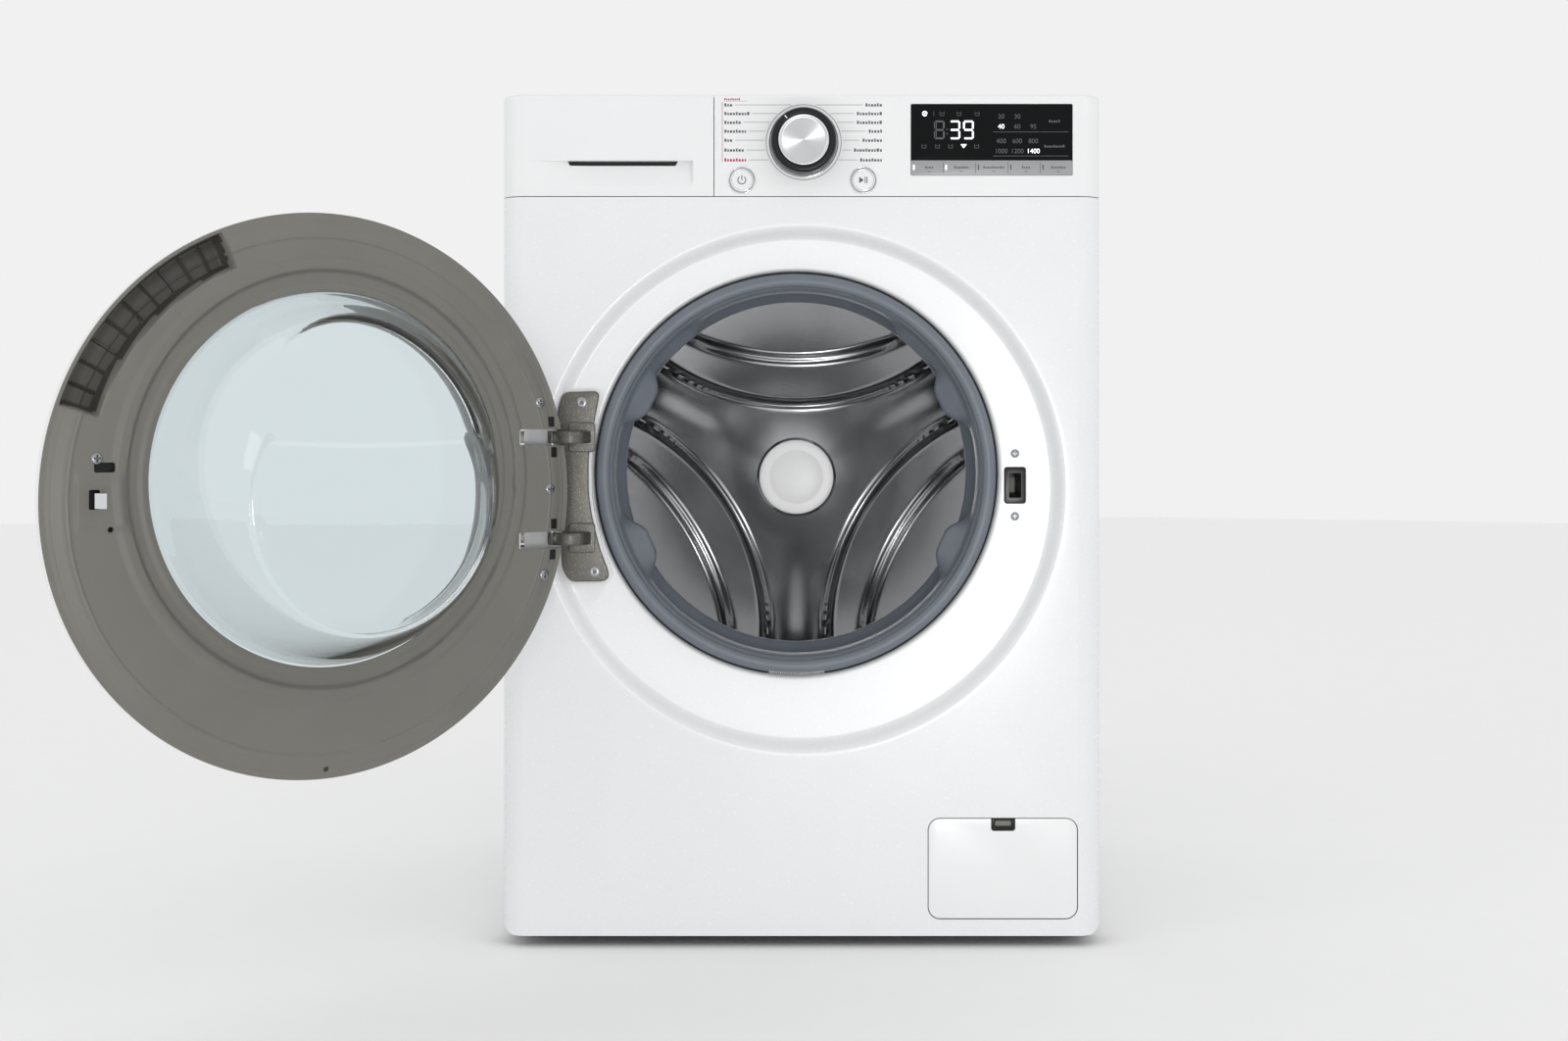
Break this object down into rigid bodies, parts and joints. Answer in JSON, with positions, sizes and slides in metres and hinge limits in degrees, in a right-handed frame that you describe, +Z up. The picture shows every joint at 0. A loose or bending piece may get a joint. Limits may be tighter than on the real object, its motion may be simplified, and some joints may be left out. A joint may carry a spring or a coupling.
{
  "type": "front load washing machine",
  "caption": "Freestanding front load washing machine with its glass door open: dished front, turning drum in a sprung tub, detergent drawer, dial, buttons, filter flap and screw feet.",
  "frame": {"origin": "on the floor, under the middle of the cabinet", "axes": "+Z up, the front faces -Y, +X to the right as seen from the front"},
  "size_m": [0.9493, 0.9185, 0.85],
  "materials": {
    "white_enamel_steel": "gloss",
    "galvanised_steel": "satin",
    "laminated_board": "satin",
    "black_moulding": "matte",
    "white_moulding": "gloss",
    "display_lens": "gloss",
    "door_window_tint": "gloss",
    "grey_moulding": "satin",
    "pale_polypropylene": "matte",
    "blue_moulding": "satin",
    "gasket_rubber": "satin",
    "black_rubber": "matte",
    "drum_stainless": "polished",
    "hub_satin": "satin",
    "cast_hinge": "satin",
    "chrome_steel": "polished",
    "machined_steel": "satin",
    "cast_aluminium": "satin",
    "spun_aluminium": "satin",
    "motor_windings": "satin",
    "concrete": "matte",
    "circuit_board": "satin",
    "clear_glass": "gloss"
  },
  "bodies": {
    "cabinet": {"front_panel": "white_enamel_steel", "side_panel_left": "white_enamel_steel", "side_panel_right": "white_enamel_steel", "rear_panel": "white_enamel_steel", "rear_cover": "galvanised_steel", "top_panel": "laminated_board", "base_pan": "black_moulding", "front_crossbar": "galvanised_steel", "control_console": "white_moulding", "display_window": "display_lens", "control_board": "circuit_board", "dispenser_housing": "pale_polypropylene", "door_lock": "black_moulding", "hinge_bracket": "cast_hinge", "gasket": "gasket_rubber", "drain_pump": "white_moulding", "filter_housing": "black_moulding", "inlet_valve": "white_moulding", "drain_spigot": "grey_moulding", "cord_gland": "black_rubber", "spring_left": "machined_steel", "spring_right": "machined_steel", "damper_left": "machined_steel", "damper_right": "machined_steel"},
    "tub": {"tub_front": "pale_polypropylene", "tub_back": "pale_polypropylene", "counterweight": "concrete", "heater": "machined_steel", "stator": "motor_windings", "bearing_front": "machined_steel", "bearing_rear": "machined_steel", "shaft_seal": "black_rubber"},
    "drum": {"drum_shell": "drum_stainless", "drum_back": "drum_stainless", "hub_cap": "hub_satin", "lifter_1": "drum_stainless", "lifter_2": "drum_stainless", "lifter_3": "drum_stainless", "spider": "cast_aluminium", "drum_shaft": "machined_steel", "rotor": "machined_steel"},
    "door": {"door_cover": "white_moulding", "door_window": "door_window_tint", "door_inner_frame": "grey_moulding", "door_bowl": "clear_glass", "hinge_pin": "chrome_steel"},
    "latch": {"latch_hook": "chrome_steel"},
    "dial": {"dial_knob": "black_moulding", "dial_cap": "spun_aluminium"},
    "power_button": {"power_button": "white_moulding"},
    "start_button": {"start_button": "white_moulding"},
    "drawer": {"drawer_front": "white_moulding", "drawer_tray": "pale_polypropylene", "softener_cap": "blue_moulding"},
    "filter_flap": {"filter_flap": "white_moulding"},
    "filter_plug": {"filter_plug": "black_moulding"},
    "foot_front_left": {"foot_front_left": "black_rubber"},
    "foot_front_right": {"foot_front_right": "black_rubber"},
    "foot_rear_left": {"foot_rear_left": "black_rubber"},
    "foot_rear_right": {"foot_rear_right": "black_rubber"}
  },
  "joints": [
    {"name": "door_hinge", "type": "hinge", "parent": "cabinet", "child": "door", "pos_m": [-0.247, -0.2965, 0.4558], "axis": [0, 0, 1], "range_deg": [0, 142.2]},
    {"name": "latch_pivot", "type": "hinge", "parent": "door", "child": "latch", "pos_m": [-0.60583, -0.58116, 0.457], "axis": [0, 0, 1], "range_deg": [0, 8], "stiffness_Nm_per_rad": 0.4},
    {"name": "tub_float", "type": "slide", "parent": "cabinet", "child": "tub", "axis": [0, 0, 1], "range_m": [-0.008, 0.008], "stiffness_N_per_m": 12000, "springref_m": 0.037, "deforming": ["gasket", "spring_left", "spring_right", "damper_left", "damper_right"]},
    {"name": "drum_spin", "type": "hinge", "parent": "tub", "child": "drum", "pos_m": [-0.0055, 0, 0.4576], "axis": [0, 1, 0], "continuous": true},
    {"name": "dial_turn", "type": "hinge", "parent": "cabinet", "child": "dial", "pos_m": [0.002, -0.2825, 0.802], "axis": [0, 1, 0], "continuous": true},
    {"name": "power_press", "type": "slide", "parent": "cabinet", "child": "power_button", "axis": [0, 1, 0], "range_m": [0, 0.0015], "stiffness_N_per_m": 500},
    {"name": "start_press", "type": "slide", "parent": "cabinet", "child": "start_button", "axis": [0, 1, 0], "range_m": [0, 0.0015], "stiffness_N_per_m": 500},
    {"name": "drawer_slide", "type": "slide", "parent": "cabinet", "child": "drawer", "axis": [0, -1, 0], "range_m": [0, 0.18]},
    {"name": "flap_hinge", "type": "hinge", "parent": "cabinet", "child": "filter_flap", "pos_m": [0.20065, -0.2819, 0.0321], "axis": [1, 0, 0], "range_deg": [0, 92]},
    {"name": "filter_turn", "type": "hinge", "parent": "cabinet", "child": "filter_plug", "pos_m": [0.19, -0.25, 0.072], "axis": [0, -1, 0], "range_deg": [0, 270]},
    {"name": "foot_front_left_screw", "type": "slide", "parent": "cabinet", "child": "foot_front_left", "axis": [0, 0, -1], "range_m": [0, 0.012]},
    {"name": "foot_rear_left_screw", "type": "slide", "parent": "cabinet", "child": "foot_rear_left", "axis": [0, 0, -1], "range_m": [0, 0.012]},
    {"name": "foot_front_right_screw", "type": "slide", "parent": "cabinet", "child": "foot_front_right", "axis": [0, 0, -1], "range_m": [0, 0.012]},
    {"name": "foot_rear_right_screw", "type": "slide", "parent": "cabinet", "child": "foot_rear_right", "axis": [0, 0, -1], "range_m": [0, 0.012]}
  ]
}
